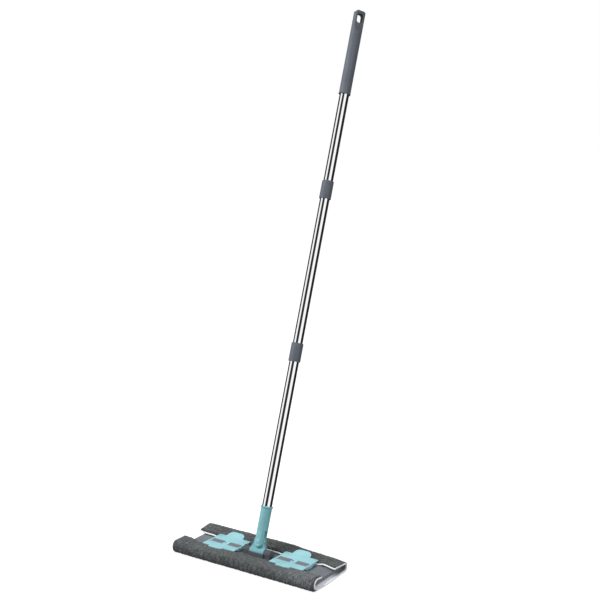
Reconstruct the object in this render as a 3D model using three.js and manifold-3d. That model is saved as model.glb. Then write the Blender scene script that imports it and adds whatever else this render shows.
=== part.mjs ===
// A flat mop: three screwed-together steel tubes with a plastic grip, a two-way swivel joint, a flat plate
// with four hinged clips, and a pile cloth wrapped round the plate. Millimetres, +Z up, X along the plate,
// +Y to the back.
// The origin is the point on the grip where a hand holds the mop.
import * as THREE from 'three';
import { mergeVertices } from 'three/addons/utils/BufferGeometryUtils.js';
import Module from 'manifold-3d';

const wasm = await Module();
wasm.setup();

// ---- Driving dimensions ----------------------------------------------------------------------------
const GAP = 0.3; // clearance between pieces that touch

const LEAN = THREE.MathUtils.degToRad(19.4); // the handle leans back over the plate
const AXLE_Z = 23.5; // height of the swivel's axle over the floor
const HOLD = 1120; // the hand's place, along the handle from the axle

// Plate and cloth
const SOLE_THICK = 6;
const PLATE_LENGTH = 357;
const PLATE_WIDTH = 110;
const PLATE_THICK = 7;
const PLATE_BACK = 6; // the plate's centre line lies this far behind the axle
const PLATE_BOTTOM = SOLE_THICK + GAP;
const PLATE_TOP = PLATE_BOTTOM + PLATE_THICK;
const CLOTH_LENGTH = 382;
const SOLE_WIDTH = 118;
const FOLD_TOP = 20.2; // height of the cloth under the clips
const FOLD_LIP_AT = 24.3; // from the plate's centre line to each fold's inner edge
const ROLL_FROM = 47; // beyond the clips' tabs each fold swells to a roll
const FRONT_ROLL = { outer: 71, top: 22.5 };
const BACK_ROLL = { outer: 68, top: 23.5 };

// Swivel
const BOSS_RADIUS = 9;
const BOSS_LENGTH = 16.5;
const SLEEVE_RADIUS = 9.7;
const SLEEVE_LENGTH = 37;
const AXLE_RADIUS = 2.5;
const TONGUE_THICK = 8.5;
const TONGUE_RADIUS = 13.8;
const TINE_RADIUS = 12; // round ends of the socket's two tines
const TILT_PIN_RADIUS = 3;
const TILT_PIN_HEAD = 5.6;
const TILT_AT = 23.4; // distances along the handle from the axle, to the end of GRIP_TOP
const SLOT_TOP = 46.5;
const SOCKET_TOP = 99.5;
const LOWER_COUPLING = 443;
const UPPER_COUPLING = 817;
const GRIP_FOOT = 1043;
const GRIP_TOP = 1244;

// Handle
const TUBE_RADIUS = 11;
const TUBE_WALL = 0.5;
const TUBE_FOOT = 58;
const TUBE_HEAD = 1176;
const SOCKET_RADIUS = 12.1;
const SOCKET_RIM = 13.7;
const COUPLING_RADIUS = 13.5;
const COUPLING_LENGTH = 42;
const PLUG_RADIUS = 10.2;
const GRIP_RADIUS = 13.4;
const GRIP_FLAT = 14; // thickness of the flattened end
const GRIP_TURN = THREE.MathUtils.degToRad(58); // the flattened end's turn about the handle
const HOLE_WIDTH = 15;
const HOLE_HEIGHT = 22;
const HOLE_AT = 1225;

// Clips: two pairs of flaps, each pair on one pin
const CLIP_LENGTH = 84.6;
const CLIP_INNER = 48.1; // distance from the middle of the plate to the nearer end of each clip
const FRONT_DEPTH = 28.5; // from the pin to a front flap's outer edge
const BACK_DEPTH = 35;
const PIN_AHEAD = 4.5; // the pins lie this far in front of the plate's centre line
const PIN_Y = PLATE_BACK - PIN_AHEAD;
const PIN_Z = PLATE_TOP + 5;
const PIN_RADIUS = 1.2;
const KNUCKLE_RADIUS = 4.1; // the flaps' top lies level with the knuckles
const SKIN_THICK = 1.7;
const WEB_FOOT = -4.4; // lower edge of the flaps' end webs
const WINDOW_HALF = 8.4; // a flap's inner edge at a pad, from the pin
const SEAM_HALF = 4.7; // and beside the other flap's knuckles
const PAD_HALF = 7.8;
const PAD_TOP = 3.4;
const WINDOWS = [[3.6, 37], [50.2, 80.6]]; // along the clip
const BACK_KNUCKLES = [[0, 3.6], [43.8, 50.2], [82.6, CLIP_LENGTH]];
const FRONT_KNUCKLES = [[37, 43.4], [80.6, 82.2]];
const BACK_TAB = { from: 16.8, to: 61.8, length: 18.2, rise: 4 };
const FRONT_TAB = { from: 17.5, to: 55.5, length: 8.5, rise: 1 };

const AQUA = { color: 0xaadde4, roughness: 0.42, metalness: 0 };
const TEAL = { color: 0x84bfc7, roughness: 0.42, metalness: 0 };
const SLATE = { color: 0x5f646d, roughness: 0.5, metalness: 0 };
const PLATE_GREY = { color: 0x70767f, roughness: 0.5, metalness: 0 };
const STEEL = { color: 0xd8d9dc, roughness: 0.12, metalness: 1 };
const ROD = { color: 0xa9acb0, roughness: 0.3, metalness: 1 };
const PILE = { color: 0x5c5f60, roughness: 1, metalness: 0 };

// ---- Solids ----------------------------------------------------------------------------------------
// Merges a geometry's shared corners, drops flat triangles and turns its faces outwards.
function closed(geometry) {
  const bare = geometry.clone();
  bare.deleteAttribute('normal');
  bare.deleteAttribute('uv');
  const merged = mergeVertices(bare, 1e-4);
  const at = merged.getAttribute('position');
  const index = merged.getIndex().array;
  const [a, b, c] = [new THREE.Vector3(), new THREE.Vector3(), new THREE.Vector3()];
  const kept = [];
  let volume = 0;
  for (let i = 0; i < index.length; i += 3) {
    const [p, q, r] = index.subarray(i, i + 3);
    if (p === q || q === r || r === p) continue;
    kept.push(p, q, r);
    a.fromBufferAttribute(at, p);
    b.fromBufferAttribute(at, q).cross(c.fromBufferAttribute(at, r));
    volume += a.dot(b);
  }
  merged.setIndex(volume < 0 ? kept.reverse() : kept);
  return merged;
}

function solid(geometry) {
  const shape = closed(geometry);
  return new wasm.Manifold(new wasm.Mesh({
    numProp: 3,
    vertProperties: Float32Array.from(shape.getAttribute('position').array),
    triVerts: Uint32Array.from(shape.getIndex().array),
  }));
}

function geometryOf(manifold) {
  const mesh = manifold.getMesh();
  const geometry = new THREE.BufferGeometry();
  geometry.setAttribute('position', new THREE.BufferAttribute(Float32Array.from(mesh.vertProperties), 3));
  geometry.setIndex(Array.from(mesh.triVerts));
  return geometry;
}

const join = (first, ...rest) => rest.reduce((whole, piece) => whole.add(piece), first);
const cut = (first, ...rest) => rest.reduce((whole, piece) => whole.subtract(piece), first);

// A box between two corners.
function block([x0, y0, z0], [x1, y1, z1]) {
  const box = new THREE.BoxGeometry(x1 - x0, y1 - y0, z1 - z0);
  return solid(box.translate((x0 + x1) / 2, (y0 + y1) / 2, (z0 + z1) / 2));
}

// A solid turned about +Z from [radius, height] pairs; the profile is closed along the axis.
function turned(profile, sides = 40) {
  const points = profile.map(([r, z]) => new THREE.Vector2(r, z));
  return solid(new THREE.LatheGeometry(points, sides).rotateX(Math.PI / 2));
}

// A plain rod along +Z from z0 to z1.
function rod(radius, z0, z1, sides = 32) {
  return solid(new THREE.CylinderGeometry(radius, radius, z1 - z0, sides)
    .rotateX(Math.PI / 2).translate(0, 0, (z0 + z1) / 2));
}

// The same rod laid along X or Y, through the point (y, z) or (x, z).
function rodX(radius, x0, x1, y, z, sides) {
  return rod(radius, x0, x1, sides).rotate([0, 90, 0]).translate([0, y, z]);
}

function rodY(radius, y0, y1, x, z, sides) {
  return rod(radius, -y1, -y0, sides).rotate([90, 0, 0]).translate([x, 0, z]);
}

// A shape drawn in (Y, Z) and pulled along X, or drawn in (X, Z) and pulled along Y.
function pulledX(shape, x0, x1, curveSegments = 10) {
  const geometry = new THREE.ExtrudeGeometry(shape, { depth: x1 - x0, bevelEnabled: false, curveSegments });
  const [x, y, z] = [new THREE.Vector3(1, 0, 0), new THREE.Vector3(0, 1, 0), new THREE.Vector3(0, 0, 1)];
  return solid(geometry.applyMatrix4(new THREE.Matrix4().makeBasis(y, z, x)).translate(x0, 0, 0));
}

function pulledY(shape, y0, y1, curveSegments = 10) {
  const geometry = new THREE.ExtrudeGeometry(shape, { depth: y1 - y0, bevelEnabled: false, curveSegments });
  return solid(geometry.rotateX(Math.PI / 2).translate(0, y1, 0));
}

// A rectangle about its middle with round corners.
function roundedRectangle(width, height, corner) {
  const [x, y] = [width / 2 - corner, height / 2 - corner];
  const shape = new THREE.Shape();
  shape.absarc(x, y, corner, 0, Math.PI / 2);
  shape.absarc(-x, y, corner, Math.PI / 2, Math.PI);
  shape.absarc(-x, -y, corner, Math.PI, 1.5 * Math.PI);
  shape.absarc(x, -y, corner, 1.5 * Math.PI, 2 * Math.PI);
  return shape;
}

function piece(name, manifold, look) {
  const mesh = new THREE.Mesh(geometryOf(manifold), new THREE.MeshStandardMaterial(look));
  mesh.name = name;
  return mesh;
}

// ---- Handle, along its own +Z from the axle --------------------------------------------------------
function tube(name, from, to) {
  const bore = TUBE_RADIUS - TUBE_WALL;
  const profile = [[bore, from], [TUBE_RADIUS, from], [TUBE_RADIUS, to], [bore, to], [bore, from]];
  return piece(name, turned(profile), STEEL);
}

// A collar over the joint between two tubes, eased at both ends.
function coupling(name, at) {
  const [low, high, ease] = [at - COUPLING_LENGTH / 2, at + COUPLING_LENGTH / 2, 0.8];
  const bore = TUBE_RADIUS + GAP;
  const sleeve = turned([
    [bore, low], [COUPLING_RADIUS - ease, low], [COUPLING_RADIUS, low + ease],
    [COUPLING_RADIUS, high - ease], [COUPLING_RADIUS - ease, high], [bore, high], [bore, low],
  ]);
  return piece(name, sleeve, SLATE);
}

// The threaded plug inside two tubes: a collar between their ends and rings of thread above it.
function screwPlug(name, at) {
  const [reach, collar, pitch] = [16, 0.8, 4];
  const profile = [[0, at - reach], [PLUG_RADIUS, at - reach], [PLUG_RADIUS, at - collar]];
  profile.push([TUBE_RADIUS - GAP, at - collar], [TUBE_RADIUS - GAP, at + collar]);
  for (let z = at + collar; z < at + reach - pitch; z += pitch) {
    profile.push([PLUG_RADIUS - 1, z + pitch / 3], [PLUG_RADIUS, z + pitch * 2 / 3]);
  }
  profile.push([PLUG_RADIUS - 1, at + reach], [0, at + reach]);
  return piece(name, turned(profile, 24), PLATE_GREY);
}

// The plug in the lowest tube's foot, whose stud screws into the socket's floor.
function footPlug() {
  const [top, stud, studFoot] = [TUBE_FOOT + 24, 5, TUBE_FOOT - 6];
  const profile = [
    [0, studFoot], [stud, studFoot], [stud, TUBE_FOOT - 1.6], [TUBE_RADIUS - GAP, TUBE_FOOT - 1.6],
    [TUBE_RADIUS - GAP, TUBE_FOOT - GAP], [PLUG_RADIUS, TUBE_FOOT - GAP], [PLUG_RADIUS, top], [0, top],
  ];
  return piece('socket_plug', turned(profile, 28), PLATE_GREY);
}

// A moulded sleeve with a soft lip at its foot, flattened at its top, where the hanging hole goes through.
function grip() {
  const [flare, ease] = [0.5, 3];
  const sleeve = turned([
    [0, GRIP_FOOT], [GRIP_RADIUS + flare, GRIP_FOOT], [GRIP_RADIUS + flare, GRIP_FOOT + 2],
    [GRIP_RADIUS, GRIP_FOOT + 2 + ease], [GRIP_RADIUS, GRIP_TOP], [0, GRIP_TOP],
  ], 44);
  const face = new THREE.Shape(); // the outline seen through the hole: square shoulders, round top
  const corner = 9.5;
  face.moveTo(-2 * GRIP_RADIUS, GRIP_FOOT - 5);
  face.lineTo(2 * GRIP_RADIUS, GRIP_FOOT - 5);
  face.lineTo(2 * GRIP_RADIUS, GRIP_FOOT + 20);
  face.lineTo(GRIP_RADIUS, GRIP_FOOT + 20);
  face.absarc(GRIP_RADIUS - corner, GRIP_TOP - corner, corner, 0, Math.PI / 2);
  face.absarc(corner - GRIP_RADIUS, GRIP_TOP - corner, corner, Math.PI / 2, Math.PI);
  face.lineTo(-GRIP_RADIUS, GRIP_FOOT + 20);
  face.lineTo(-2 * GRIP_RADIUS, GRIP_FOOT + 20);
  const side = new THREE.Shape(); // the outline seen along the flat: two curves down to the flat end
  const [half, start, flat] = [GRIP_FLAT / 2, GRIP_TOP - 62, GRIP_TOP - 34];
  side.moveTo(-2 * GRIP_RADIUS, GRIP_FOOT - 5);
  side.lineTo(2 * GRIP_RADIUS, GRIP_FOOT - 5);
  side.lineTo(2 * GRIP_RADIUS, GRIP_FOOT + 20);
  side.lineTo(GRIP_RADIUS, GRIP_FOOT + 20);
  side.lineTo(GRIP_RADIUS, start);
  side.bezierCurveTo(GRIP_RADIUS, start + 12, half, flat - 12, half, flat);
  side.lineTo(half, GRIP_TOP - 3);
  side.quadraticCurveTo(half, GRIP_TOP, half - 3, GRIP_TOP);
  side.lineTo(3 - half, GRIP_TOP);
  side.quadraticCurveTo(-half, GRIP_TOP, -half, GRIP_TOP - 3);
  side.lineTo(-half, flat);
  side.bezierCurveTo(-half, flat - 12, -GRIP_RADIUS, start + 12, -GRIP_RADIUS, start);
  side.lineTo(-GRIP_RADIUS, GRIP_FOOT + 20);
  side.lineTo(-2 * GRIP_RADIUS, GRIP_FOOT + 20);
  const reach = 2 * GRIP_RADIUS;
  const opening = pulledY(roundedRectangle(HOLE_WIDTH, HOLE_HEIGHT, 5.5), -reach, reach, 5);
  const hole = opening.translate([0, 0, HOLE_AT]);
  const bore = rod(TUBE_RADIUS + GAP, GRIP_FOOT - 1, start - 4, 40);
  const fromFront = pulledY(face, -reach, reach, 8);
  const shaped = sleeve.intersect(fromFront).intersect(pulledX(side, -reach, reach, 8));
  const mesh = piece('grip', cut(shaped, hole, bore), SLATE);
  mesh.rotation.z = GRIP_TURN;
  return mesh;
}

// The tapered socket: a rimmed bore for the tube above, and two round-ended tines with a slot between them.
function socket() {
  const floor = 50;
  const body = turned([
    [0, TILT_AT - TINE_RADIUS], [TINE_RADIUS, TILT_AT - TINE_RADIUS], [TINE_RADIUS, SLOT_TOP],
    [SOCKET_RADIUS, SOCKET_TOP - 4.5], [SOCKET_RIM, SOCKET_TOP - 3], [SOCKET_RIM, SOCKET_TOP - 0.6],
    [SOCKET_RIM - 0.6, SOCKET_TOP], [0, SOCKET_TOP],
  ], 40);
  const outline = new THREE.Shape();
  outline.absarc(0, TILT_AT, TINE_RADIUS, Math.PI, 2 * Math.PI);
  outline.lineTo(2 * SOCKET_RIM, TILT_AT + 12);
  outline.lineTo(2 * SOCKET_RIM, SOCKET_TOP + 5);
  outline.lineTo(-2 * SOCKET_RIM, SOCKET_TOP + 5);
  outline.lineTo(-2 * SOCKET_RIM, TILT_AT + 12);
  const half = TONGUE_THICK / 2 + GAP;
  const slot = block([-30, -half, 0], [30, half, SLOT_TOP]);
  const bore = rod(TUBE_RADIUS + GAP, TUBE_FOOT - 2, SOCKET_TOP + 1, 40);
  const threads = rod(5 + GAP, floor, TUBE_FOOT, 28);
  const pin = rodY(TILT_PIN_RADIUS + GAP, -20, 20, 0, TILT_AT);
  const seat = rodY(TILT_PIN_HEAD + GAP, -20, -9.6, 0, TILT_AT);
  const flats = block([-30, -11, 0], [30, 11, SLOT_TOP + 1]);
  const upper = block([-30, -30, SLOT_TOP + 1], [30, 30, SOCKET_TOP + 5]);
  const shaped = body.intersect(pulledY(outline, -30, 30, 14)).intersect(join(flats, upper));
  return piece('socket', cut(shaped, slot, bore, threads, pin, seat), TEAL);
}

// The pin on which the handle tilts sideways, with its round head in the front tine.
function tiltPin() {
  const head = rodY(TILT_PIN_HEAD, -11.6, -9.6 - GAP, 0, TILT_AT);
  return piece('tilt_pin', join(rodY(TILT_PIN_RADIUS, -11, 10.6, 0, TILT_AT), head), TEAL);
}

// The swivel block: a round tongue between the tines, on a sleeve that turns about the axle.
function yoke() {
  const [half, round] = [TONGUE_THICK / 2, SLEEVE_RADIUS];
  const profile = new THREE.Shape(); // seen along the axle
  const start = Math.PI * 0.26;
  profile.absarc(0, 0, round, Math.PI - start, 2 * Math.PI + start);
  profile.quadraticCurveTo(half, round * Math.sin(start) + 1, half, TILT_AT - TINE_RADIUS - 0.4);
  profile.lineTo(half, TILT_AT + TONGUE_RADIUS + 1);
  profile.lineTo(-half, TILT_AT + TONGUE_RADIUS + 1);
  profile.lineTo(-half, TILT_AT - TINE_RADIUS - 0.4);
  const [shoulderY, shoulderZ] = [round * Math.cos(start), round * Math.sin(start)];
  profile.quadraticCurveTo(-half, shoulderZ + 1, -shoulderY, shoulderZ);
  const face = new THREE.Shape(); // seen along the tilt pin
  const [wide, waist] = [SLEEVE_LENGTH / 2, TILT_AT - 4];
  face.moveTo(-wide, -2 * round);
  face.lineTo(wide, -2 * round);
  face.lineTo(wide, 5.5);
  face.quadraticCurveTo(wide - 0.5, 10.5, TONGUE_RADIUS + 1.6, 14.5);
  face.quadraticCurveTo(TONGUE_RADIUS, 17, TONGUE_RADIUS, waist);
  face.absarc(0, TILT_AT, TONGUE_RADIUS, 0, Math.PI);
  face.lineTo(-TONGUE_RADIUS, waist);
  face.quadraticCurveTo(-TONGUE_RADIUS, 17, -TONGUE_RADIUS - 1.6, 14.5);
  face.quadraticCurveTo(0.5 - wide, 10.5, -wide, 5.5);
  const body = pulledX(profile, -wide - 1, wide + 1, 16).intersect(pulledY(face, -30, 30, 12));
  const axle = rodX(AXLE_RADIUS + GAP, -30, 30, 0, 0);
  const pin = rodY(TILT_PIN_RADIUS + GAP, -30, 30, 0, TILT_AT);
  return piece('yoke', cut(body, axle, pin), TEAL);
}

// ---- Head, in the floor frame ----------------------------------------------------------------------
// The left end of each clip: the two clips are the same part, moved along the plate.
const CLIP_LEFT_ENDS = { left: -CLIP_INNER - CLIP_LENGTH, right: CLIP_INNER };

function basePlate() {
  const bevel = 1.2;
  const slab = new THREE.ExtrudeGeometry(roundedRectangle(PLATE_LENGTH, PLATE_WIDTH, 10), {
    depth: PLATE_THICK - 2 * bevel, bevelThickness: bevel, bevelSize: bevel, bevelOffset: -bevel,
    bevelSegments: 1, curveSegments: 4,
  }).translate(0, PLATE_BACK, PLATE_BOTTOM + bevel);
  let plate = solid(slab);
  const [inner, outer] = [SLEEVE_LENGTH / 2 + 0.4, SLEEVE_LENGTH / 2 + 0.4 + BOSS_LENGTH];
  for (const side of [-1, 1]) {
    const [x0, x1] = side < 0 ? [-outer, -inner] : [inner, outer];
    const boss = rodX(BOSS_RADIUS, x0, x1, 0, AXLE_Z, 36);
    const foot = block([x0, -BOSS_RADIUS, PLATE_TOP - 1], [x1, BOSS_RADIUS, AXLE_Z]);
    plate = join(plate, boss, foot, bossRib(side, outer));
  }
  const front = -SLEEVE_RADIUS - 3; // a low wall in front of the sleeve
  plate = plate.add(block([-inner - 1, front, PLATE_TOP - 1], [inner + 1, front + 2, AXLE_Z + 1.5]));
  plate = join(plate, ...[-1, 1].map((side) => sideRail(side, inner, outer, front)));
  for (const x of Object.values(CLIP_LEFT_ENDS)) {
    for (const [from, to] of WINDOWS) plate = plate.add(clipPad(x + from + 0.6, x + to - 0.9));
    plate = plate.subtract(rodX(PIN_RADIUS + GAP, x, x + CLIP_LENGTH, PIN_Y, PIN_Z, 16));
  }
  plate = plate.subtract(rodX(AXLE_RADIUS + GAP, -outer - 1, outer - 2.5, 0, AXLE_Z));
  return piece('base_plate', cut(plate, ...undersidePockets()), PLATE_GREY);
}

// A low rail in front of a boss, level with the foot of the wall.
function sideRail(side, inner, outer, front) {
  const [x0, x1] = side < 0 ? [-outer, -inner] : [inner, outer];
  return block([x0, front, PLATE_TOP - 1], [x1, -BOSS_RADIUS + 1, PLATE_TOP + 3]);
}

// A web from a boss's outer end down to the plate.
function bossRib(side, from) {
  const shape = new THREE.Shape();
  shape.moveTo(side * (from - 1), PLATE_TOP - 1);
  shape.lineTo(side * (from + 7.5), PLATE_TOP - 1);
  shape.lineTo(side * (from + 7.5), PLATE_TOP + 2);
  shape.lineTo(side * (from - 1), AXLE_Z);
  return pulledY(shape, -2.5, 4.5);
}

// A block with eased long edges that carries a clip's pin and shows through the clip's window.
function clipPad(x0, x1) {
  const [foot, top, ease] = [PLATE_TOP - 1, PIN_Z + PAD_TOP, 0.5];
  const shape = new THREE.Shape();
  shape.moveTo(PIN_Y - PAD_HALF, foot);
  shape.lineTo(PIN_Y + PAD_HALF, foot);
  shape.lineTo(PIN_Y + PAD_HALF, top - ease);
  shape.lineTo(PIN_Y + PAD_HALF - ease, top);
  shape.lineTo(PIN_Y - PAD_HALF + ease, top);
  shape.lineTo(PIN_Y - PAD_HALF, top - ease);
  return pulledX(shape, x0, x1);
}

// Two rows of pockets leave a thin skin and ribs on the plate's underside.
function undersidePockets() {
  const [columns, rows, rib, skin] = [6, 2, 5, 2.6];
  const [width, depth] = [(PLATE_LENGTH - 20) / columns, (PLATE_WIDTH - 16) / rows];
  const pockets = [];
  for (let i = 0; i < columns; i += 1) {
    for (let j = 0; j < rows; j += 1) {
      const x = (i - columns / 2) * width;
      const y = PLATE_BACK + (j - rows / 2) * depth;
      const low = [x + rib / 2, y + rib / 2, PLATE_BOTTOM - 1];
      pockets.push(block(low, [x + width - rib / 2, y + depth - rib / 2, PLATE_TOP - skin]));
    }
  }
  return pockets;
}

function axle() {
  const outer = SLEEVE_LENGTH / 2 + BOSS_LENGTH;
  return piece('joint_axle', rodX(AXLE_RADIUS, -outer + 0.5, outer - 2.8, 0, AXLE_Z, 28), ROD);
}

function clipPin(side) {
  const x = CLIP_LEFT_ENDS[side];
  const pin = rodX(PIN_RADIUS, x + 0.3, x + CLIP_LENGTH - 1.6, PIN_Y, PIN_Z, 16);
  return piece(`${side}_clip_pin`, pin, ROD);
}

// ---- Clips: made about the pin with the flap reaching to +Y, and mirrored for the front flaps ---------
// A knuckle: a barrel round the pin that runs out into the flap's skin.
function knuckle(x0, x1) {
  const shape = new THREE.Shape();
  const root = SEAM_HALF + 3;
  shape.moveTo(root, KNUCKLE_RADIUS);
  shape.lineTo(0, KNUCKLE_RADIUS);
  shape.absarc(0, 0, KNUCKLE_RADIUS, Math.PI / 2, 1.62 * Math.PI);
  shape.lineTo(root, KNUCKLE_RADIUS - SKIN_THICK);
  return pulledX(shape, x0, x1, 9);
}

// A finger tab that curves up from the flap's outer edge, with a wide corner at its right end and a
// tighter one at its left end.
function fingerTab(depth, { from, to, length, rise }) {
  const [low, top, tip] = [KNUCKLE_RADIUS - SKIN_THICK, KNUCKLE_RADIUS, depth + length];
  const side = new THREE.Shape();
  side.moveTo(depth - 2, low);
  side.quadraticCurveTo(depth + 6, low, tip, low + rise);
  side.lineTo(tip - 0.3, top + rise);
  side.quadraticCurveTo(depth + 5.5, top, depth - 2, top);
  const plan = new THREE.Shape();
  plan.moveTo(from, depth - 4);
  plan.lineTo(to, depth - 4);
  const wide = to - from;
  plan.lineTo(to, depth);
  plan.bezierCurveTo(to - 1, depth + length * 0.7, to - wide * 0.16, tip, to - wide * 0.4, tip);
  plan.lineTo(from + wide * 0.3, tip);
  plan.bezierCurveTo(from + wide * 0.1, tip, from, depth + length * 0.75, from, depth);
  const cutter = { depth: 20, bevelEnabled: false, curveSegments: 9 };
  const column = solid(new THREE.ExtrudeGeometry(plan, cutter));
  return pulledX(side, from - 1, to + 1, 6).intersect(column);
}

// A web down the flap's end, deep at the pin and running out towards the cloth.
function endWeb(x0, x1, reach) {
  const inside = KNUCKLE_RADIUS - 0.5;
  const shape = new THREE.Shape();
  shape.moveTo(SEAM_HALF, inside);
  shape.lineTo(SEAM_HALF, WEB_FOOT);
  shape.lineTo(SEAM_HALF + 2.5, WEB_FOOT);
  shape.lineTo(reach, KNUCKLE_RADIUS - SKIN_THICK);
  shape.lineTo(reach, inside);
  return pulledX(shape, x0, x1);
}

// A front flap is made like a back one and turned over the pin; it is a little longer at its left end.
function flap(name, x, { knuckles, front, tab }) {
  const [left, low] = [front ? -1.6 : 0, KNUCKLE_RADIUS - SKIN_THICK];
  const depth = front ? FRONT_DEPTH : BACK_DEPTH;
  const lip = FOLD_LIP_AT + (front ? -PIN_AHEAD : PIN_AHEAD) - 0.8; // the cloth's edge, from the pin
  let shape = block([left, SEAM_HALF, low], [CLIP_LENGTH, depth, KNUCKLE_RADIUS]);
  shape = join(shape, fingerTab(depth, tab), endWeb(CLIP_LENGTH - 2.4, CLIP_LENGTH, lip));
  if (!front) shape = shape.add(endWeb(0, 1.8, lip));
  for (const [from, to] of knuckles) shape = shape.add(knuckle(from, to));
  for (const [from, to] of WINDOWS) shape = shape.subtract(block([from, -9, -9], [to, WINDOW_HALF, 9]));
  shape = shape.subtract(rodX(PIN_RADIUS + GAP, -5, CLIP_LENGTH - 1.2, 0, 0, 16));
  if (front) shape = shape.mirror([0, 1, 0]);
  const mesh = piece(name, shape, AQUA);
  mesh.position.set(x, PIN_Y, PIN_Z);
  return mesh;
}

// ---- Cloth: a sole under the plate and a fold over each long edge -----------------------------------
function clothSole() {
  const plan = roundedRectangle(CLOTH_LENGTH, SOLE_WIDTH, 6);
  const sheet = { depth: SOLE_THICK, bevelEnabled: false, curveSegments: 3 };
  const slab = new THREE.ExtrudeGeometry(plan, sheet).translate(0, PLATE_BACK, 0);
  return piece('cloth_sole', solid(slab), PILE);
}

// One fold: a roll along the plate's edge, with a flatter lip that runs in under the clips.
function clothFold(name, front) {
  const { outer, top } = front ? FRONT_ROLL : BACK_ROLL;
  const edge = PLATE_WIDTH / 2 + GAP; // the plate's long edge
  const sole = SOLE_WIDTH / 2 + GAP; // the sole's long edge
  const shape = new THREE.Shape();
  shape.moveTo(sole, 0.8);
  shape.quadraticCurveTo(outer, 1.5, outer, 10);
  shape.quadraticCurveTo(outer, top, edge + 1, top);
  shape.lineTo(ROLL_FROM + 5, top);
  shape.lineTo(ROLL_FROM, FOLD_TOP);
  shape.lineTo(FOLD_LIP_AT, FOLD_TOP);
  shape.lineTo(FOLD_LIP_AT, PLATE_TOP + GAP);
  shape.lineTo(edge, PLATE_TOP + GAP);
  shape.lineTo(edge, SOLE_THICK + GAP);
  shape.lineTo(sole, SOLE_THICK + GAP);
  let fold = pulledX(shape, -CLOTH_LENGTH / 2, CLOTH_LENGTH / 2, 5);
  if (front) fold = fold.mirror([0, 1, 0]);
  return piece(name, fold.translate([0, PLATE_BACK, 0]), PILE);
}

// ---- Assembly --------------------------------------------------------------------------------------
const handle = new THREE.Group();
handle.add(
  grip(), socket(), tiltPin(), yoke(), footPlug(),
  tube('lower_tube', TUBE_FOOT, LOWER_COUPLING - 1.2),
  tube('middle_tube', LOWER_COUPLING + 1.2, UPPER_COUPLING - 1.2),
  tube('upper_tube', UPPER_COUPLING + 1.2, TUBE_HEAD),
  coupling('lower_coupling', LOWER_COUPLING), coupling('upper_coupling', UPPER_COUPLING),
  screwPlug('lower_screw_plug', LOWER_COUPLING), screwPlug('upper_screw_plug', UPPER_COUPLING),
);
handle.position.z = AXLE_Z;
handle.rotation.x = -LEAN;

const head = new THREE.Group();
head.add(basePlate(), axle());
head.add(clothSole(), clothFold('cloth_front_fold', true), clothFold('cloth_back_fold', false));
for (const [side, x] of Object.entries(CLIP_LEFT_ENDS)) {
  head.add(clipPin(side));
  head.add(flap(`${side}_front_clip`, x, { knuckles: FRONT_KNUCKLES, front: true, tab: FRONT_TAB }));
  head.add(flap(`${side}_back_clip`, x, { knuckles: BACK_KNUCKLES, front: false, tab: BACK_TAB }));
}

const mop = new THREE.Group();
mop.add(handle, head);
mop.position.set(0, -HOLD * Math.sin(LEAN), -AXLE_Z - HOLD * Math.cos(LEAN));

export default mop;
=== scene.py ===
# The looks of the flat mop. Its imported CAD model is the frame: this script finishes each piece and dresses
# the plate in its cloth. Metres, in the row's frame: +X along the plate, +Y to its back, +Z up.
import math

import bmesh
import bpy
import numpy as np
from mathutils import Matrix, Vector


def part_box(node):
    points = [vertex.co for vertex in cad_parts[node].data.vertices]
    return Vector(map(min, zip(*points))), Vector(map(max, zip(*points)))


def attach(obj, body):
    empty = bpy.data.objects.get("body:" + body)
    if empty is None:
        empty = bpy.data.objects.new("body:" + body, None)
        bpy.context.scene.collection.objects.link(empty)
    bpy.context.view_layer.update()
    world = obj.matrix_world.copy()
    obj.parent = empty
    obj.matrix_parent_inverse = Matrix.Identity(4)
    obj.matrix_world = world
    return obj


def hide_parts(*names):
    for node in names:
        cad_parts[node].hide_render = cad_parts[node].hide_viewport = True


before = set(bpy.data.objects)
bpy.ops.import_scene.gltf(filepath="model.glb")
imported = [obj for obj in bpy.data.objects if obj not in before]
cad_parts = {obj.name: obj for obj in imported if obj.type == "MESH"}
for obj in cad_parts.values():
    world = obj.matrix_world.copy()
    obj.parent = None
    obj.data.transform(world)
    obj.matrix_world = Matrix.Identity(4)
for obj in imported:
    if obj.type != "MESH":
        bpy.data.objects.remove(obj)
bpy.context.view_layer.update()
MM = 0.001

# ---- Driving sizes, from the frame ---------------------------------------------------------------
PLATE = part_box("base_plate")
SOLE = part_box("cloth_sole")
FLOOR_Z = SOLE[0].z
PIN_OVER_PLATE = 3.8 * MM  # from the plate's top face up to the underside of its clip pins
PLATE_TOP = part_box("left_clip_pin")[0].z - PIN_OVER_PLATE
AXLE = (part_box("joint_axle")[0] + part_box("joint_axle")[1]) / 2


# ---- Camera and light ----------------------------------------------------------------------------
def make_camera():
    """A 66 mm lens a metre above the floor, to the right of the mop's front and looking down a little."""
    place = Vector((1.3354, AXLE.y - 1.8374, FLOOR_Z + 0.9868))
    azimuth, down = math.radians(33.72), math.radians(10.12)
    data = bpy.data.cameras.new("camera")
    data.sensor_width = 36
    data.lens = 66
    data.clip_start = 0.05
    data.clip_end = 60
    camera = bpy.data.objects.new("camera", data)
    camera.location = place
    camera.rotation_euler = (math.pi / 2 - down, 0, azimuth)
    bpy.context.collection.objects.link(camera)
    bpy.context.scene.camera = camera


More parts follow.
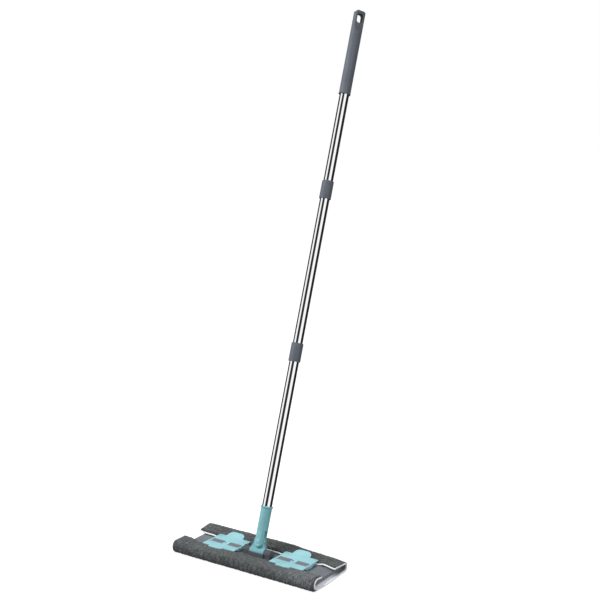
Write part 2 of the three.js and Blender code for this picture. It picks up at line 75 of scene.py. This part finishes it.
def area_light(name, place, size, watts):
    data = bpy.data.lights.new(name, "AREA")
    data.shape = "RECTANGLE"
    data.size, data.size_y = size
    data.energy = watts
    light = bpy.data.objects.new(name, data)
    light.location = place
    aim = Vector((0, AXLE.y, FLOOR_Z + 0.4)) - Vector(place)
    light.rotation_euler = aim.to_track_quat("-Z", "Y").to_euler()
    light.visible_camera = False
    light.visible_glossy = False
    bpy.context.collection.objects.link(light)


def make_world():
    """A white studio, brighter from above. Glossy rays see light and dark cards, which band the tubes."""
    world = bpy.data.worlds.new("studio")
    bpy.context.scene.world = world
    world.use_nodes = True
    tree = world.node_tree
    tree.nodes.clear()
    out = tree.nodes.new("ShaderNodeOutputWorld")
    sky = tree.nodes.new("ShaderNodeBackground")
    height = tree.nodes.new("ShaderNodeMapRange")
    height.inputs["From Min"].default_value = -0.25
    height.inputs["To Min"].default_value = 0.22
    height.inputs["To Max"].default_value = 0.95
    white = tree.nodes.new("ShaderNodeBackground")
    white.inputs["Color"].default_value = (1, 1, 1, 1)
    cards = tree.nodes.new("ShaderNodeBackground")
    seen = tree.nodes.new("ShaderNodeMixShader")
    mix = tree.nodes.new("ShaderNodeMixShader")
    ray = tree.nodes.new("ShaderNodeLightPath")
    place = tree.nodes.new("ShaderNodeTexCoord")
    split = tree.nodes.new("ShaderNodeSeparateXYZ")
    turn = tree.nodes.new("ShaderNodeMath")
    turn.operation = "ARCTAN2"
    share = tree.nodes.new("ShaderNodeMapRange")
    share.inputs["From Min"].default_value = -math.pi
    share.inputs["From Max"].default_value = math.pi
    ramp = tree.nodes.new("ShaderNodeValToRGB")
    link = tree.links.new
    link(place.outputs["Generated"], split.inputs["Vector"])
    link(split.outputs["X"], turn.inputs[0])
    link(split.outputs["Y"], turn.inputs[1])
    link(turn.outputs["Value"], share.inputs["Value"])
    link(share.outputs["Result"], ramp.inputs["Fac"])
    link(ramp.outputs["Color"], cards.inputs["Color"])
    link(ray.outputs["Is Glossy Ray"], mix.inputs["Fac"])
    link(split.outputs["Z"], height.inputs["Value"])
    link(height.outputs["Result"], sky.inputs["Strength"])
    link(ray.outputs["Is Camera Ray"], seen.inputs["Fac"])
    link(sky.outputs["Background"], seen.inputs[1])
    link(white.outputs["Background"], seen.inputs[2])
    link(seen.outputs["Shader"], mix.inputs[1])
    link(cards.outputs["Background"], mix.inputs[2])
    link(mix.outputs["Shader"], out.inputs["Surface"])
    # Each card: the compass angle where it starts, in degrees from +Y towards +X, and its brightness.
    around = [(-180, 0.03), (-160, 1.1), (-115, 0.032), (-34, 0.02), (84, 1.1), (140, 0.03)]
    paint_cards(ramp.color_ramp, around, soft=6)


def paint_cards(ramp, cards, soft):
    """Steps of brightness round the compass, each blended over soft degrees."""
    while len(ramp.elements) > 1:
        ramp.elements.remove(ramp.elements[-1])
    ramp.interpolation = "LINEAR"
    ramp.elements[0].position = 0
    ramp.elements[0].color = (*[cards[0][1]] * 3, 1)
    level = cards[0][1]
    for start, value in cards[1:]:
        for angle, shade in ((start - soft / 2, level), (start + soft / 2, value)):
            element = ramp.elements.new((angle + 180) / 360)
            element.color = (shade, shade, shade, 1)
        level = value


def make_floor():
    """A white sheet that the camera sees and that nothing reflects."""
    mesh = bpy.data.meshes.new("floor")
    half, back = 12, AXLE.y
    corners = [(-half, back - half, FLOOR_Z), (half, back - half, FLOOR_Z), (half, back + half, FLOOR_Z)]
    corners.append((-half, back + half, FLOOR_Z))
    mesh.from_pydata(corners, [], [(0, 1, 2, 3)])
    floor = bpy.data.objects.new("floor", mesh)
    bpy.context.collection.objects.link(floor)
    look = bpy.data.materials.new("floor_white")
    look.use_nodes = True
    shader = look.node_tree.nodes["Principled BSDF"]
    shader.inputs["Base Color"].default_value = (0.35, 0.35, 0.35, 1)
    shader.inputs["Roughness"].default_value = 0.9
    shader.inputs["Specular IOR Level"].default_value = 0
    shader.inputs["Emission Color"].default_value = (1, 1, 1, 1)
    shader.inputs["Emission Strength"].default_value = 0.82
    mesh.materials.append(look)
    floor.visible_glossy = False
    floor.visible_diffuse = False


# ---- Materials -----------------------------------------------------------------------------------
class Look:
    """A material under construction: its tree, its shader, and short ways to add nodes."""

    def __init__(self, name, colour, roughness, **sockets):
        self.material = bpy.data.materials.new(name)
        self.material.use_nodes = True
        self.tree = self.material.node_tree
        self.shader = self.tree.nodes["Principled BSDF"]
        self.set("Base Color", (*colour, 1))
        self.set("Roughness", roughness)
        for socket, value in sockets.items():
            self.set(socket.replace("_", " "), value)
        self.place = self.node("ShaderNodeTexCoord").outputs["Object"]

    def set(self, socket, value):
        self.shader.inputs[socket].default_value = value

    def node(self, kind, **settings):
        made = self.tree.nodes.new(kind)
        for key, value in settings.items():
            setattr(made, key, value)
        return made

    def link(self, a, b):
        self.tree.links.new(a, b)

    def noise(self, scale, detail=2.0, roughness=0.5, stretch=None):
        made = self.node("ShaderNodeTexNoise")
        made.inputs["Scale"].default_value = scale
        made.inputs["Detail"].default_value = detail
        made.inputs["Roughness"].default_value = roughness
        place = self.place
        if stretch:
            mapping = self.node("ShaderNodeMapping")
            mapping.inputs["Scale"].default_value = stretch
            self.link(place, mapping.inputs["Vector"])
            place = mapping.outputs["Vector"]
        self.link(place, made.inputs["Vector"])
        return made.outputs["Fac"]

    def ramp(self, value, stops):
        """Colours between (position, colour) stops."""
        made = self.node("ShaderNodeValToRGB")
        elements = made.color_ramp.elements
        while len(elements) < len(stops):
            elements.new(0.5)
        for element, (at, colour) in zip(elements, stops):
            element.position = at
            element.color = (*colour, 1)
        self.link(value, made.inputs["Fac"])
        return made.outputs["Color"]

    def product(self, a, b):
        """Two colours multiplied."""
        made = self.node("ShaderNodeMix", data_type="RGBA", blend_type="MULTIPLY")
        made.inputs[0].default_value = 1
        self.link(a, made.inputs[6])
        self.link(b, made.inputs[7])
        return made.outputs[2]

    def span(self, value, low, high):
        """Maps 0..1 to low..high."""
        made = self.node("ShaderNodeMapRange")
        made.inputs["To Min"].default_value = low
        made.inputs["To Max"].default_value = high
        self.link(value, made.inputs["Value"])
        return made.outputs["Result"]

    def bump(self, height, depth, strength=1.0):
        made = self.node("ShaderNodeBump")
        made.inputs["Distance"].default_value = depth
        made.inputs["Strength"].default_value = strength
        self.link(height, made.inputs["Height"])
        self.link(made.outputs["Normal"], self.shader.inputs["Normal"])


def plastic(name, colour, roughness, grain=0.03 * MM, tint=0.06):
    """Moulded plastic: a fine grain, faint flow marks in the colour, and slightly uneven gloss."""
    look = Look(name, colour, roughness, Specular_IOR_Level=0.45)
    low, high = ([c * (1 + side * tint) for c in colour] for side in (-1, 1))
    look.link(look.ramp(look.noise(26, 3), [(0.35, low), (0.65, high)]), look.shader.inputs["Base Color"])
    gloss = look.span(look.noise(90, 4), roughness - 0.07, roughness + 0.09)
    look.link(gloss, look.shader.inputs["Roughness"])
    look.bump(look.noise(2600, 2, 0.6), grain)
    return look.material


def chromed_steel():
    """Polished tube: faint drawing lines along the handle, smudges in the gloss."""
    look = Look("chromed_steel", (0.86, 0.865, 0.88), 0.07, Metallic=1.0)
    look.link(look.span(look.noise(14, 5, 0.6), 0.035, 0.11), look.shader.inputs["Roughness"])
    look.bump(look.noise(900, 1, 0.5, (1, 1, 0.02)), 0.004 * MM, 0.4)
    return look.material


def drawn_steel():
    """Plain rod: short lines along it, a dull and uneven gloss."""
    look = Look("drawn_steel", (0.4, 0.41, 0.43), 0.3, Metallic=1.0)
    look.link(look.span(look.noise(300, 3, 0.5, (0.1, 1, 1)), 0.22, 0.4), look.shader.inputs["Roughness"])
    return look.material


def pile_yarn():
    """Grey heather pile: each little tuft a shade of its own, fine fibres, a soft sheen; painted shade
    between tufts.
    """
    look = Look("pile_yarn", (0.11, 0.115, 0.118), 1.0, Sheen_Weight=0.25, Sheen_Roughness=0.5)
    look.set("Specular IOR Level", 0.1)
    greys = [(0.34, (0.018, 0.02, 0.021)), (0.46, (0.052, 0.058, 0.06)), (0.56, (0.094, 0.103, 0.106)),
             (0.69, (0.23, 0.248, 0.252))]
    colour = look.ramp(look.noise(820, 3, 0.72), greys)
    broad = look.ramp(look.noise(120, 3, 0.6), [(0.3, (0.82, 0.82, 0.82)), (0.7, (1.12, 1.12, 1.12))])
    tuft = look.node("ShaderNodeAttribute", attribute_name="tuft").outputs["Fac"]
    # painted shade: darker between the tufts, lighter on their tops
    depth = look.ramp(tuft, [(0.2, (0.62, 0.62, 0.62)), (0.85, (1.12, 1.12, 1.12))])
    # the tone attribute holds each tuft's own shade and the painted light and shade along the cloth
    tone = look.node("ShaderNodeAttribute", attribute_name="tone").outputs["Fac"]
    colour = look.product(look.product(colour, broad), look.product(depth, tone))
    look.link(colour, look.shader.inputs["Base Color"])
    look.bump(look.noise(1500, 3, 0.7), 0.5 * MM, 0.8)
    return look.material


def lining_cloth():
    """The cloth's plain white inner face, with a fine square weave and a faint bluish painted glow."""
    look = Look("lining_cloth", (0.86, 0.86, 0.92), 0.85, Sheen_Weight=0.15)
    # painted glow: a faint emission in the lining's own colour lightens it
    look.set("Emission Strength", 0.07)
    waves = []
    for axis in ("X", "Y"):
        wave = look.node("ShaderNodeTexWave", bands_direction=axis)
        wave.inputs["Scale"].default_value = 420
        wave.inputs["Distortion"].default_value = 0.6
        look.link(look.place, wave.inputs["Vector"])
        waves.append(wave.outputs["Fac"])
    both = look.node("ShaderNodeMath", operation="MULTIPLY")
    look.link(waves[0], both.inputs[0])
    look.link(waves[1], both.inputs[1])
    shades = [(0.3, (0.8, 0.84, 0.92)), (0.7, (0.9, 0.93, 0.98))]
    # painted shade: the tone attribute greys the lining inside the back roll
    tone = look.node("ShaderNodeAttribute", attribute_name="tone").outputs["Fac"]
    colour = look.product(look.ramp(look.noise(60, 3), shades), tone)
    look.link(colour, look.shader.inputs["Base Color"])
    look.link(colour, look.shader.inputs["Emission Color"])
    look.bump(both.outputs["Value"], 0.15 * MM)
    return look.material


def binding_tape():
    """White overlock tape with a fine thread grain and a faint painted glow."""
    look = Look("binding_tape", (0.9, 0.9, 0.9), 0.8, Sheen_Weight=0.2, Emission_Strength=0.1)
    look.set("Emission Color", (1, 1, 1, 1))
    look.bump(look.noise(1700, 2, 0.6), 0.3 * MM)
    threads = look.ramp(look.noise(300, 2), [(0.3, (0.82, 0.82, 0.82)), (0.7, (0.94, 0.94, 0.94))])
    look.link(threads, look.shader.inputs["Base Color"])
    return look.material


# ---- Hard pieces ---------------------------------------------------------------------------------
WELD = 0.02 * MM  # corners closer than this are one corner
FLAT = math.radians(1.5)  # faces that meet at less than this are one flat face
ROUNDED = math.radians(34)  # edges sharper than this are rounded
CREASE = math.radians(32)  # edges still sharper than this keep a crease in the shading
PROUD = 0.2 * MM  # a face this far over the plate's top belongs to what stands up from it


def new_object(name, mesh, body):
    piece = bpy.data.objects.new(name, mesh)
    bpy.context.collection.objects.link(piece)
    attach(piece, body)
    return piece


def finished(node, look, body, bevel):
    """The node's own shape with its flat facets joined, its edges rounded and its round faces smooth."""
    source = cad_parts[node].data
    bm = bmesh.new()
    bm.from_mesh(source)
    bmesh.ops.remove_doubles(bm, verts=bm.verts, dist=WELD)
    bmesh.ops.dissolve_limit(bm, angle_limit=FLAT, verts=bm.verts, edges=bm.edges)
    shape = bpy.data.meshes.new(f"{node}_finished")
    bm.to_mesh(shape)
    bm.free()
    cad_shading = ("custom_normal", "sharp_face", "sharp_edge")
    for attribute in [a for a in shape.attributes if a.name in cad_shading]:
        shape.attributes.remove(attribute)
    piece = new_object(f"{node}_finished", shape, body)
    if bevel:
        edge = piece.modifiers.new("edges", "BEVEL")
        edge.width = bevel
        edge.segments = 2
        edge.limit_method = "ANGLE"
        edge.angle_limit = ROUNDED
        edge.use_clamp_overlap = True
    bpy.context.view_layer.update()
    baked = bpy.data.meshes.new_from_object(piece.evaluated_get(bpy.context.evaluated_depsgraph_get()))
    piece.modifiers.clear()
    baked.materials.clear()
    baked.materials.append(look)
    baked.shade_smooth()
    baked.set_sharp_from_angle(angle=CREASE)
    piece.data = baked
    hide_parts(node)
    return piece


def tint_raised(plate, near, margin, look):
    """Gives what stands up from the plate, along the given piece's length, a material of its own."""
    plate.data.materials.append(look)
    for face in plate.data.polygons:
        place = face.center
        if near[0].x - margin < place.x < near[1].x + margin and place.z > PLATE_TOP + PROUD:
            face.material_index = len(plate.data.materials) - 1


def repaint(node, look):
    """The node keeps its CAD shape and takes this material."""
    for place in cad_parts[node].material_slots:
        place.material = look


def dress_hard_pieces():
    aqua = plastic("aqua_plastic", (0.27, 0.6, 0.65), 0.36)
    swivel = plastic("swivel_plastic", (0.2, 0.455, 0.495), 0.38)
    clip = plastic("clip_plastic", (0.355, 0.66, 0.72), 0.34)
    slate = plastic("slate_plastic", (0.148, 0.165, 0.197), 0.42, 0.06 * MM)
    plate = plastic("plate_plastic", (0.195, 0.212, 0.236), 0.48, 0.06 * MM)
    # painted shade: a far darker grey for the bosses round the axle, under the socket
    painted_boss_shade = plastic("painted_boss_shade_plastic", (0.09, 0.098, 0.111), 0.46, 0.06 * MM)
    pad = plastic("pad_plastic", (0.21, 0.218, 0.248), 0.5, 0.06 * MM)
    steel = chromed_steel()
    rod = drawn_steel()
    for node in ("upper_tube", "middle_tube", "lower_tube"):
        finished(node, steel, "handle", bevel=0)
    for node in ("grip", "upper_coupling", "lower_coupling"):
        finished(node, slate, "handle", bevel=0.5 * MM)
    finished("socket", aqua, "handle", bevel=0.5 * MM)
    finished("tilt_pin", aqua, "handle", bevel=0.4 * MM)
    finished("yoke", swivel, "yoke", bevel=0.5 * MM)
    plate_shape = finished("base_plate", plate, "head", bevel=0.5 * MM)
    # painted shade: the bosses round the axle take the darker grey
    tint_raised(plate_shape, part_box("joint_axle"), margin=11 * MM, look=painted_boss_shade)
    for side in ("left", "right"):
        for end in ("front", "back"):
            body = f"{side}_{end}_clip"
            finished(body, clip, body, bevel=0.35 * MM)
        tint_raised(plate_shape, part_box(f"{side}_clip_pin"), margin=0, look=pad)
    for node in ("joint_axle", "left_clip_pin", "right_clip_pin"):
        repaint(node, rod)
    for node in ("lower_screw_plug", "upper_screw_plug", "socket_plug"):
        repaint(node, plate)


# ---- The cloth -----------------------------------------------------------------------------------
# Its section runs from the front lip over the front roll, under the plate and over the back roll to the
# back lip. Millimetres here: x along the plate, y from the plate's middle line, z from the floor.
MIDDLE = Vector((0, (PLATE[0].y + PLATE[1].y) / 2, FLOOR_Z))
CLOTH_LEFT, CLOTH_RIGHT = -190.0, 187.0
CLOTH_WIDTH = 240  # the flat sheet's nominal size from lip to lip
ALONG_STEPS, ACROSS_STEPS = 272, 176
SLOPE_STEPS, TURN_STEPS = 24, 40
SOLE_FROM = -42.0  # from here to the back turn the section's bottom is level
HELD_FRONT, HELD_BACK = 14.5, 14.3  # the lining's height at each lip where a shut clip holds it down
FLAP_UNDER = 20.2  # the pile stays below this where a clip presses it
CLEAR = 0.6  # the pressed bed reaches this far past a flap's outer edge and round a tab
RISE = 1.3  # how steeply the pile rises again beyond the bed
NOT_PRESSED = 99.0
FLAPS = ((-1, 33.0), (1, 30.5))  # the front and the back flaps: side of the middle line, and outer edge
# The front and the back tabs: two ends along the clip from its left end, tip, and lift over the flap.
TABS = ((17.5, 55.5, 41.5, 0.8), (16.8, 61.8, 48.7, 3.7))
TUFT = 3.4  # spacing of the pile's tufts
TUFT_STRAY, TUFT_RADIUS = 0.46, 0.95  # in spacings
TUFT_LOWEST = 0.55  # the lowest tuft's top, as a share of the tallest
TUFT_DEPTH, TUFT_MEAN = 1.7, 0.62  # how far tufts stand out, about their mean height
TUFT_UNEVEN = 0.5  # and how much whole tufts differ in height
LIP_THICK = 2.8  # the pile's thickness at the cloth's edge
TAPE_DEPTH = 0.3  # the tape's line, as a share of the way from the lining out to the pile
OFF_FLOOR = 0.1  # so that the cloth's underside and the floor are two surfaces


def through(x, *points):
    """A curve through (x, value) points, easing in and out at each."""
    xs = [p[0] for p in points]
    i = np.clip(np.searchsorted(xs, x) - 1, 0, len(points) - 2)
    x0, x1 = np.take(xs, i), np.take(xs, i + 1)
    v0, v1 = (np.take([p[1] for p in points], i + k) for k in (0, 1))
    t = np.clip((x - x0) / (x1 - x0), 0, 1)
    return v0 + (v1 - v0) * t * t * (3 - 2 * t)


def clip_spans():
    """Each clip's x range."""
    spans = []
    for side in ("left", "right"):
        low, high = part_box(f"{side}_back_clip")
        spans.append((low.x / MM, high.x / MM))
    return spans


def near_clip(x, fade=16.0):
    """1 within a clip's length, falling to 0 the fade's length outside it."""
    value = np.zeros_like(x)
    for low, high in clip_spans():
        value = np.maximum(value, np.clip(1 - np.maximum(low - x, x - high) / fade, 0, 1))
    return value * value * (3 - 2 * value)


def backing_section(x):
    """The backing's section at x as points (y, z): front top, front turn, bottom, back turn, back top."""
    held = float(near_clip(np.array([x]))[0])
    bottom = float(through(x, (-190, 3.4), (-176, 5.3), (172, 5.3), (187, 4.6)))
    points = []
    lip = -float(through(x, (145, 27), (187, 43.5)))
    inner = float(
        through(x, (-189, 21), (-172, 20), (-158, 17.5), (-148, 15.2), (140, 15.2), (187, 23.2)))
    inner += (HELD_FRONT - inner) * held
    outer = float(through(x, (-189, 21.3), (-172, 20.3), (-158, 18), (-148, 16), (150, 16), (187, 24.6)))
    turn = -float(through(x, (140, 61.5), (187, 57.5)))
    reach = float(through(x, (140, 5.8), (187, 12)))
    points += slope_to(lip, inner, turn, outer)
    points += half_turn(turn, bottom, outer, -reach)
    low = float(through(x, (172, 5.3), (187, 2.4)))  # beyond the plate the sole's end lies on the floor
    low = min(low, bottom)
    points.append((SOLE_FROM, low))
    lip = float(through(x, (-190, 28), (-178, 25), (148, 24.5), (187, 12)))
    inner = float(through(x, (-190, 17.2), (-140, 16.4), (134, 16.4), (150, 17.6), (187, 20.6)))
    inner += (HELD_BACK - inner) * held
    outer = float(through(x, (-190, 20), (50, 20), (85, 19.2), (150, 18.8), (187, 16.8)))
    turn = float(through(x, (45, 59), (100, 56), (187, 53)))
    points += half_turn(turn, low, outer, through(x, (45, 5.2), (187, 5.6)))[::-1]
    points += slope_to(lip, inner, turn, outer)[::-1]
    return np.array(points, float)


def slope_to(y0, z0, y1, z1):
    """From a lip to where the turn begins, easing from one height to the other."""
    steps = np.linspace(0, 1, SLOPE_STEPS)
    ease = steps * steps * (3 - 2 * steps)
    return [(y0 + (y1 - y0) * t, z0 + (z1 - z0) * e) for t, e in zip(steps, ease)]


def half_turn(y, low, high, reach):
    """Half an ellipse from the top, which it leaves out, round to the bottom."""
    centre, half = (low + high) / 2, (high - low) / 2
    turns = np.linspace(0, math.pi, TURN_STEPS)[1:]
    return [(y + reach * math.sin(a), centre + half * math.cos(a)) for a in turns]


def evenly(points, count):
    """The same line as count points at equal distances."""
    lengths = np.r_[0, np.cumsum(np.hypot(*np.diff(points, axis=0).T))]
    at = np.linspace(0, lengths[-1], count)
    return np.c_[np.interp(at, lengths, points[:, 0]), np.interp(at, lengths, points[:, 1])]


def tuft_height(u, v):
    """Rounded tufts over the flat cloth, 1 at a tuft's top and 0 between tufts, and a shade for each."""
    random = np.random.default_rng(7)
    rows, columns = (int(np.ptp(w) / TUFT) + 6 for w in (u, v))
    spots = random.uniform(-TUFT_STRAY, TUFT_STRAY, (rows, columns, 2))
    tall = random.uniform(TUFT_LOWEST, 1, (rows, columns))
    shade = random.uniform(0, 1, (rows, columns))
    i, j = ((w - w.min()) / TUFT + 2 for w in (u, v))
    height, tint = np.zeros_like(u), np.zeros_like(u)
    for di in (-1, 0, 1):
        for dj in (-1, 0, 1):
            a, b = np.floor(i).astype(int) + di, np.floor(j).astype(int) + dj
            away = np.hypot(a + 0.5 + spots[a, b, 0] - i, b + 0.5 + spots[a, b, 1] - j)
            here = tall[a, b] * np.sqrt(np.clip(1 - (away / TUFT_RADIUS) ** 2, 0, 1))
            tint = np.where(here > height, shade[a, b], tint)
            height = np.maximum(height, here)
    return height, tint


def room_under(x, deep, flap, start, end, tip, lift):
    """The height that a pair of flaps with arched tabs leaves over the floor."""
    room = np.full_like(x, NOT_PRESSED)
    for low, high in clip_spans():
        beside = np.maximum(np.maximum(low - x, x - high), 0)
        under_flap = FLAP_UNDER + RISE * np.hypot(beside, np.maximum(deep - flap - CLEAR, 0))
        across = np.clip(np.abs(x - low - (start + end) / 2) / ((end - start) / 2 + CLEAR), 0, 1)
        edge = flap + (tip - flap) * np.sqrt(1 - across ** 2)
        risen = np.clip((deep - flap) / (tip - flap), 0, 1)
        under_tab = FLAP_UNDER + lift * risen ** 2 + RISE * np.maximum(deep - edge - CLEAR, 0) + beside
        room = np.minimum(room, np.minimum(under_flap, under_tab))
    return room


def pressed(x, y, z):
    """Keeps the pile under the clips' flaps and raised tabs, and lets it rise again beside them."""
    for (side, flap), tab in zip(FLAPS, TABS):
        z = np.where(y * side > 0, np.minimum(z, room_under(x, np.abs(y), flap, *tab)), z)
    return z


def cloth_surfaces():
    """The lining and the pile as grids of points, (along, across, 3). Then the tufts' heights, the pile's
    tone with its painted light and shade, and the lining's painted shade."""
    xs = np.linspace(CLOTH_LEFT, CLOTH_RIGHT, ALONG_STEPS)
    sections = np.array([evenly(backing_section(x), ACROSS_STEPS) for x in xs])
    x = np.repeat(xs[:, None], ACROSS_STEPS, 1)
    skew = through(x, (150, 0), (187, 1))  # the right end's back corner is drawn in
    x = x - skew * through(sections[..., 0], (-20, 0), (50, 2.6))
    lining = np.dstack([x, sections])
    ahead = np.gradient(sections, axis=1)
    out = np.dstack([ahead[..., 1], -ahead[..., 0]]) / np.linalg.norm(ahead, axis=2, keepdims=True)
    up = out[..., 1]
    front = sections[..., 0] < 0
    top = np.where(front, 6.4, through(x, (45, 7.2), (75, 6), (143, 4.6)))
    side = np.where(front, 6.2, 5.6)
    thick = np.where(up > 0, side + (top - side) * up ** 2, side + (sections[..., 1] - side) * up ** 2)
    u = np.linspace(0, 1, ACROSS_STEPS)[None, :] * CLOTH_WIDTH + 0 * x
    tufts, shade = tuft_height(x, u)
    thick = thick + TUFT_DEPTH * (tufts - TUFT_MEAN) + TUFT_UNEVEN * (shade - 0.5)
    edge = np.minimum(np.minimum(x - CLOTH_LEFT, CLOTH_RIGHT - x), np.minimum(u, CLOTH_WIDTH - u))
    wide = through(x, (-182, 8.5), (-170, 4.5))  # the pile rounds off over this distance from the edge
    rounding = np.sqrt(np.clip(1 - (1 - np.clip(edge / wide, 0, 1)) ** 2, 0, 1))
    thick = LIP_THICK + (np.maximum(thick, LIP_THICK) - LIP_THICK) * rounding
    # Painted light and shade along the cloth: the front lighter towards its ends, most at the right; the
    # back darker through its middle.
    front_painted_light = through(x, (-120, 1.15), (0, 1), (70, 1.12), (150, 1.6))
    back_painted_light = through(x, (-120, 1.1), (-20, 0.85), (90, 0.85), (150, 0.95))
    tone = np.where(front, front_painted_light, back_painted_light) * (0.74 + 0.52 * shade)  # each tuft lighter or darker
    pile = np.dstack([x, sections + out * thick[..., None]])
    pile[..., 2] = np.maximum(pressed(pile[..., 0], pile[..., 1], pile[..., 2]), OFF_FLOOR)
    shadow = through(sections[..., 0], (4, 1), (42, 0.2))  # painted shade: the lining is greyer inside the back roll
    return lining, pile, tufts, tone, shadow


def to_row(points):
    """Cloth millimetres to the row's metres."""
    return points.reshape(-1, 3) * MM + np.array(MIDDLE)


def make_cloth(yarn, weave, tape):
    """One closed sheet, lining inside and pile outside, with a tape round its edge."""
    lining, pile, tufts, tone, lining_painted_shade = cloth_surfaces()
    rows, columns = lining.shape[:2]
    count = rows * columns
    index = np.arange(count).reshape(rows, columns)
    a, b, c, d = index[:-1, :-1], index[1:, :-1], index[1:, 1:], index[:-1, 1:]
    inner = np.stack([a, d, c, b], -1).reshape(-1, 4)
    outer = np.stack([a, b, c, d], -1).reshape(-1, 4) + count
    ring = boundary(index)
    following = np.roll(ring, -1)
    rim = np.stack([ring, following, following + count, ring + count], -1)
    mesh = bpy.data.meshes.new("mop_cloth")
    faces = np.concatenate([inner, outer, rim])
    mesh.from_pydata(np.concatenate([to_row(lining), to_row(pile)]).tolist(), [], faces.tolist())
    mesh.materials.append(weave)
    mesh.materials.append(yarn)
    kinds = np.r_[np.zeros(len(inner)), np.ones(len(outer) + len(rim))].astype(int)
    mesh.polygons.foreach_set("material_index", kinds)
    for name, inside, outside in (("tuft", tufts, tufts), ("tone", lining_painted_shade, tone)):
        values = np.r_[inside.ravel(), outside.ravel()]
        mesh.attributes.new(name, "FLOAT", "POINT").data.foreach_set("value", values)
    mesh.shade_smooth()
    fix_outside(mesh)
    cloth = new_object("mop_cloth", mesh, "head")
    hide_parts("cloth_sole", "cloth_front_fold", "cloth_back_fold")
    core = lining + TAPE_DEPTH * (pile - lining)
    binding = make_binding(core.reshape(-1, 3)[ring], tape)


def boundary(index):
    """The grid's edge as one loop."""
    return np.r_[index[:-1, 0], index[-1, :-1], index[:0:-1, -1], index[0, :0:-1]]


def fix_outside(mesh):
    """Turns every face's normal outwards."""
    bm = bmesh.new()
    bm.from_mesh(mesh)
    bmesh.ops.recalc_face_normals(bm, faces=bm.faces)
    bm.to_mesh(mesh)
    bm.free()


def carried(ahead):
    """A sideways direction for each point of a closed line, turning no more than the line does."""
    side = np.zeros_like(ahead)
    nearly_up = (0.0, 0.3, 1.0)
    side[0] = np.cross(ahead[0], nearly_up)
    side[0] /= np.linalg.norm(side[0])
    for i in range(1, len(ahead) + 1):
        here = ahead[i % len(ahead)]
        step = side[i - 1] - here * (side[i - 1] @ here)
        step /= np.linalg.norm(step)
        if i < len(ahead):
            side[i] = step
    twist = math.atan2(np.cross(side[0], step) @ ahead[0], side[0] @ step)
    turn = -twist * np.arange(len(ahead))[:, None] / len(ahead)
    return side * np.cos(turn) + np.cross(ahead, side) * np.sin(turn)


def make_binding(loop, tape, radius=1.85, sides=8, stitch=2.6, pull=0.16):
    """A tape sewn over the cloth's whole edge, drawn in a little by each stitch."""
    ahead = np.roll(loop, -1, 0) - np.roll(loop, 1, 0)
    ahead /= np.linalg.norm(ahead, axis=1, keepdims=True)
    side = carried(ahead)
    over = np.cross(side, ahead)
    lengths = np.r_[0, np.cumsum(np.linalg.norm(np.diff(loop, axis=0), axis=1))]
    swell = radius + pull * np.sin(lengths * 2 * math.pi / stitch)
    turns = np.arange(sides) * 2 * math.pi / sides
    ringed = loop[:, None] + swell[:, None, None] * (
        np.cos(turns)[None, :, None] * side[:, None] + np.sin(turns)[None, :, None] * over[:, None])
    count = len(loop)
    index = np.arange(count * sides).reshape(count, sides)
    onward, across = np.roll(index, -1, 0), np.roll(index, -1, 1)
    faces = np.stack([index, across, np.roll(across, -1, 0), onward], -1).reshape(-1, 4)
    mesh = bpy.data.meshes.new("cloth_binding")
    ringed[..., 2] = np.maximum(ringed[..., 2], OFF_FLOOR)
    mesh.from_pydata(to_row(ringed).tolist(), [], faces.tolist())
    mesh.materials.append(tape)
    mesh.shade_smooth()
    fix_outside(mesh)
    return new_object("cloth_binding", mesh, "head")


make_camera()
make_world()
area_light("key", (-1.7, AXLE.y - 1.3, FLOOR_Z + 2.8), size=(1.5, 1.5), watts=85)
area_light("fill", (2.6, AXLE.y - 0.3, FLOOR_Z + 0.9), size=(1.0, 1.2), watts=9)
make_floor()
bpy.context.scene.view_settings.view_transform = "Standard"
dress_hard_pieces()
make_cloth(pile_yarn(), lining_cloth(), binding_tape())
